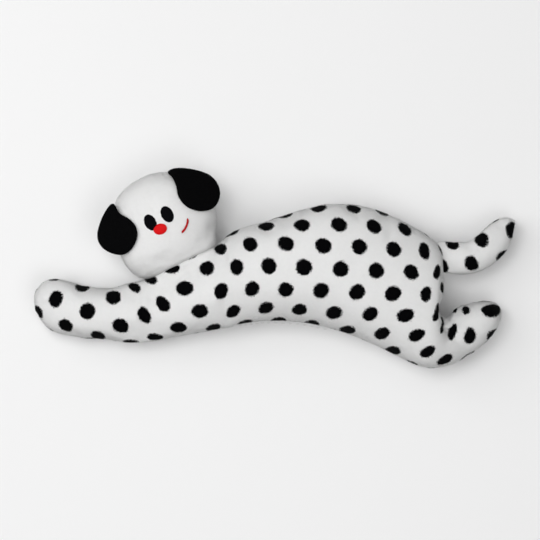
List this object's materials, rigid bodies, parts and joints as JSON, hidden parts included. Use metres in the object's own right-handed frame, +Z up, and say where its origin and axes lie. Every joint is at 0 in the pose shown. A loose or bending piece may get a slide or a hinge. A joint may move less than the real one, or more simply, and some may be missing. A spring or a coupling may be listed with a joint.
{
  "type": "plush dog",
  "caption": "Long stuffed toy dog stretched out on its side with a turned face, floppy ears and soft folds at shoulder, knee, neck and tail, to hug or use as a cushion.",
  "frame": {"origin": "centre of the footprint, on the floor it lies on", "axes": "+X from the front paw towards the tail, +Y from the belly towards the back, +Z up off the floor through the side that shows the face"},
  "size_m": [0.5985, 0.2484, 0.1033],
  "materials": {
    "plush": "short white pile with black spots",
    "stuffing": "loose polyester fibre",
    "velvet": "black velvety pile",
    "black_thread": "black satin stitch",
    "red_thread": "bright red satin stitch",
    "smile_thread": "dark red satin stitch",
    "white_thread": "white sewing thread"
  },
  "bodies": {
    "torso": {"torso_top_panel": "plush", "torso_bottom_panel": "plush", "torso_stuffing": "stuffing", "closing_thread": "white_thread", "neck_seam_thread": "white_thread"},
    "foreleg": {"foreleg_top_panel": "plush", "foreleg_bottom_panel": "plush", "foreleg_stuffing": "stuffing"},
    "hind_leg": {"hind_leg_top_panel": "plush", "hind_leg_bottom_panel": "plush", "hind_leg_stuffing": "stuffing"},
    "tail": {"tail_top_panel": "plush", "tail_bottom_panel": "plush", "tail_stuffing": "stuffing"},
    "head": {"head_face_panel": "plush", "head_back_panel": "plush", "head_stuffing": "stuffing", "eye_left": "black_thread", "eye_right": "black_thread", "nose": "red_thread", "smile": "smile_thread"},
    "ear_left": {"ear_left_front": "velvet", "ear_left_lining": "velvet"},
    "ear_right": {"ear_right_front": "velvet", "ear_right_lining": "velvet"}
  },
  "joints": [
    {"name": "shoulder_fold", "type": "hinge", "parent": "torso", "child": "foreleg", "pos_m": [-0.168, -0.054, 0.032], "axis": [0, 0, 1], "range_deg": [-20, 20], "stiffness_Nm_per_rad": 0.25},
    {"name": "knee_fold", "type": "hinge", "parent": "torso", "child": "hind_leg", "pos_m": [0.2099, -0.0874, 0.036], "axis": [0, 0, 1], "range_deg": [-25, 18], "stiffness_Nm_per_rad": 0.25},
    {"name": "tail_root", "type": "hinge", "parent": "torso", "child": "tail", "pos_m": [0.204, 0.0145, 0.045], "axis": [0, 0, 1], "range_deg": [-25, 25], "stiffness_Nm_per_rad": 0.08},
    {"name": "neck_fold", "type": "hinge", "parent": "torso", "child": "head", "pos_m": [-0.1135, 0.0082, 0.0389], "axis": [0.896, 0.444, 0], "range_deg": [-10, 16], "stiffness_Nm_per_rad": 0.6},
    {"name": "ear_left_flap", "type": "hinge", "parent": "head", "child": "ear_left", "pos_m": [-0.204, 0.064, 0.07], "axis": [-0.243, -0.97, 0], "range_deg": [0, 110]},
    {"name": "ear_right_flap", "type": "hinge", "parent": "head", "child": "ear_right", "pos_m": [-0.111, 0.1175, 0.07], "axis": [-0.993, 0.118, 0], "range_deg": [0, 110]}
  ]
}
